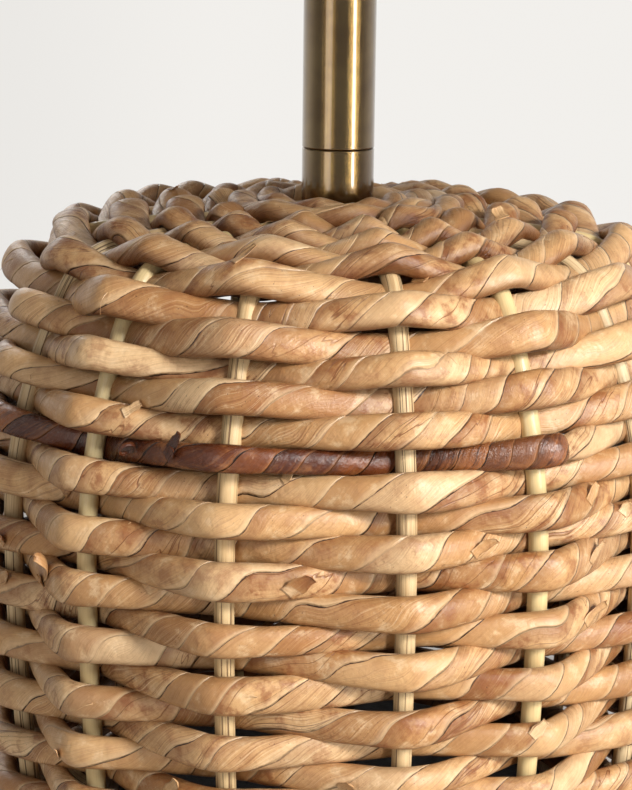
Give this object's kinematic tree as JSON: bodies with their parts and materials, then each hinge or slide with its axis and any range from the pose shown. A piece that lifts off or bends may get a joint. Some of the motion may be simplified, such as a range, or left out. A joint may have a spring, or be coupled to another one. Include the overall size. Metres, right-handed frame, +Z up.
{
  "type": "table lamp with shade",
  "caption": "Table lamp: a round basket base woven over stakes, a slim brass neck, a harp with socket and bulb, and a wide linen drum shade.",
  "frame": {"origin": "on the table, under the middle of the lamp", "axes": "+Z up along the neck; -Y is the front, where the switch knob is; +X to the right seen from the front"},
  "size_m": [0.4015, 0.4014, 0.5608],
  "materials": {
    "felt": "matt pressed felt",
    "plinth_wood": "stained, satin",
    "plain_wood": "plain board",
    "straw": "twisted dried leaf, satin, with darker and lighter lengths",
    "dark_straw": "twisted dried leaf, dark red brown",
    "cane": "pale grooved cane, satin",
    "old_brass": "brushed, aged",
    "bright_brass": "satin, lacquered",
    "steel": "zinc plated",
    "iron": "rough, painted",
    "black_rubber": "matt",
    "phenolic": "moulded, half gloss",
    "card": "plain card",
    "lamp_aluminium": "bare, satin",
    "opal_glass": "opal white, satin",
    "vitrite": "black, glossy",
    "white_wire": "white, satin",
    "linen": "plain woven linen",
    "lining": "matt white"
  },
  "bodies": {
    "lamp_base": {"felt_pad": "felt", "plinth": "plinth_wood", "cord_grommet": "black_rubber", "rod_nut": "steel", "rod_washer": "steel", "basket_floor": "plain_wood", "iron_weight": "iron", "spacer_tube": "steel", "stakes": "cane", "foot_rows": "straw", "lower_rows": "straw", "belly_rows": "straw", "dark_strand": "dark_straw", "upper_rows": "straw", "shoulder_rows": "straw", "crown_rows": "straw", "crown_coil": "straw", "hub_disc": "plain_wood", "neck_collar": "old_brass", "neck_tube": "old_brass", "neck_cap": "old_brass", "threaded_rod": "steel", "harp_saddle": "bright_brass", "harp_bow": "bright_brass", "harp_stud": "bright_brass", "socket_cap": "bright_brass", "socket_shell": "bright_brass", "socket_liner": "card", "socket_core": "phenolic", "screw_shell": "lamp_aluminium", "centre_contact": "bright_brass", "terminal_screws": "bright_brass"},
    "left_lock": {"left_sleeve": "bright_brass"},
    "right_lock": {"right_sleeve": "bright_brass"},
    "switch": {"switch_spindle": "steel", "switch_knob": "phenolic"},
    "bulb": {"bulb_glass": "opal_glass", "bulb_cap": "lamp_aluminium", "bulb_contact": "vitrite"},
    "shade": {"spider": "white_wire", "top_ring": "white_wire", "bottom_ring": "white_wire", "shade_linen": "linen", "shade_lining": "lining", "top_hem": "linen", "bottom_hem": "linen"},
    "finial_cap": {"finial": "bright_brass"}
  },
  "joints": [
    {"name": "left_sleeve_slide", "type": "slide", "parent": "lamp_base", "child": "left_lock", "axis": [0, 0, 1], "range_m": [0, 0.015]},
    {"name": "right_sleeve_slide", "type": "slide", "parent": "lamp_base", "child": "right_lock", "axis": [0, 0, 1], "range_m": [0, 0.015]},
    {"name": "switch_turn", "type": "hinge", "parent": "lamp_base", "child": "switch", "pos_m": [0, -0.019, 0.34174], "axis": [0, -1, 0], "continuous": true},
    {"name": "bulb_turn", "type": "hinge", "parent": "lamp_base", "child": "bulb", "pos_m": [0, 0, 0.37944], "axis": [0, 0, 1], "continuous": true},
    {"name": "shade_turn", "type": "hinge", "parent": "lamp_base", "child": "shade", "pos_m": [0, 0, 0.53042], "axis": [0, 0, 1], "continuous": true},
    {"name": "finial_turn", "type": "hinge", "parent": "lamp_base", "child": "finial_cap", "pos_m": [0, 0, 0.53272], "axis": [0, 0, 1], "continuous": true}
  ]
}
